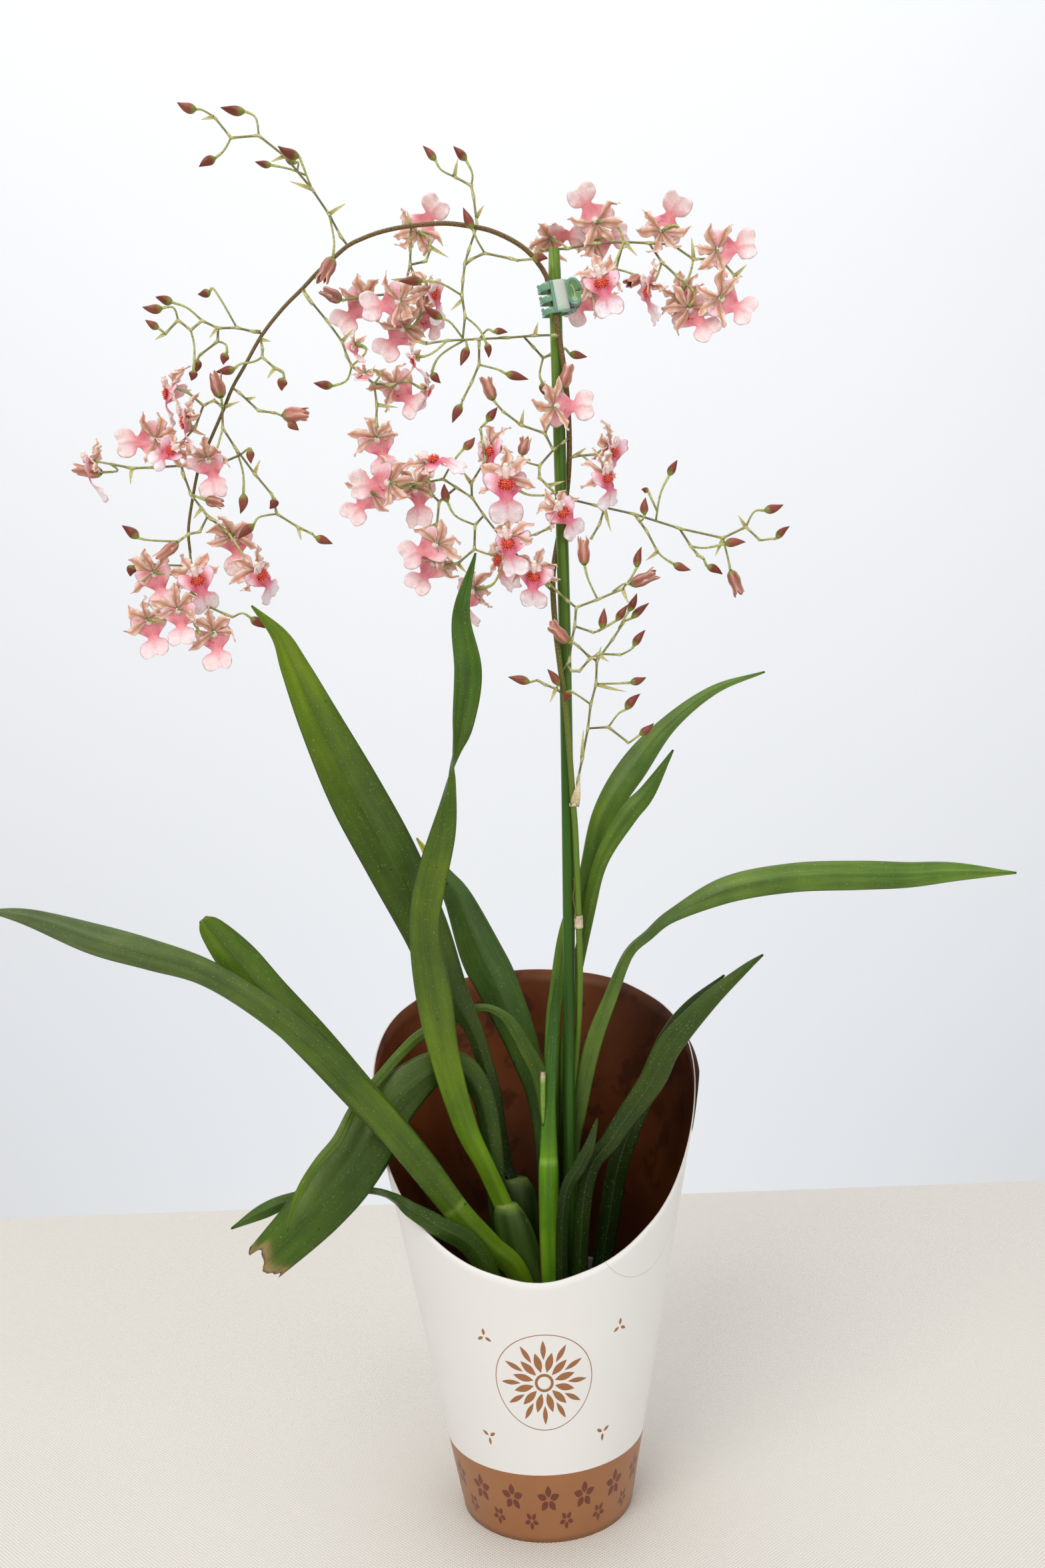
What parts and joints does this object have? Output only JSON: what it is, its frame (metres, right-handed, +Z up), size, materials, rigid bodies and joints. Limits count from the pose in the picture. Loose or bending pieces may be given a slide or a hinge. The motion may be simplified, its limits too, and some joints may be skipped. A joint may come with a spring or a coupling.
{
  "type": "potted oncidium orchid",
  "caption": "Oncidium orchid with an arching branched spray of small blooms and long strap leaves, staked with a sprung clip, in a grow pot inside a slant-topped card sleeve.",
  "frame": {"origin": "middle of the sleeve's foot, on the surface that the pot stands on", "axes": "+Z up along the stake, +X to the right of the plant's front, +Y away to its back, where the sleeve is tallest"},
  "size_m": [0.4956, 0.1698, 0.72],
  "materials": {
    "sleeve": "satin white outside with a tan-brown foot band, dark reddish brown inside",
    "pot": "clear, thin",
    "substrate": "bark chips, rough",
    "stake": "dyed green, with pale streaks at the top",
    "clip": "glossy jade green, with a frosted pale plate in its middle",
    "steel": "bright wire",
    "leaf": "glossy strap leaf with a keel",
    "bulb": "ribbed, satin",
    "shoot": "light green sheath with dry edges",
    "stem": "green with dense maroon speckles",
    "flower": "soft, pale pink lip, tan-pink tepals, maroon buds"
  },
  "bodies": {
    "plant": {"clip_pin": "steel", "clip_rear_jaw": "clip", "clip_spring": "steel", "flower_stem": "stem", "grow_pot": "pot", "leaf_back_broad": "leaf", "leaf_left_broad": "leaf", "leaf_left_long": "leaf", "leaf_left_round": "leaf", "leaf_over_front": "leaf", "leaf_right_back": "leaf", "leaf_right_inner": "leaf", "leaf_right_long": "leaf", "leaf_right_low": "leaf", "leaf_right_tall": "leaf", "leaf_small": "leaf", "leaf_thin_arching": "leaf", "leaf_torn": "leaf", "leaf_twisted": "leaf", "pair_right": "flower", "pseudobulb_back": "bulb", "pseudobulb_front": "bulb", "shoot": "shoot", "sleeve": "sleeve", "spray_arch_drop": "flower", "spray_centre": "flower", "spray_centre_left": "flower", "spray_front_fan": "flower", "spray_left": "flower", "spray_lower_front": "flower", "spray_lower_left": "flower", "spray_lowest": "flower", "spray_right": "flower", "spray_tip": "flower", "spray_top_left": "flower", "spray_top_right": "flower", "spray_under_arch": "flower", "stake": "stake", "substrate": "substrate", "twig_left_inner": "flower", "twig_left_pair": "flower", "twig_low_buds": "flower"},
    "clip_jaw": {"clip_front_jaw": "clip"}
  },
  "joints": [
    {"name": "clip_hinge", "type": "hinge", "parent": "plant", "child": "clip_jaw", "pos_m": [0.032, 0, 0.6247], "axis": [-0.1564, 0, 0.9877], "range_deg": [0, 30], "stiffness_Nm_per_rad": 0.02, "springref_deg": -17.19}
  ]
}
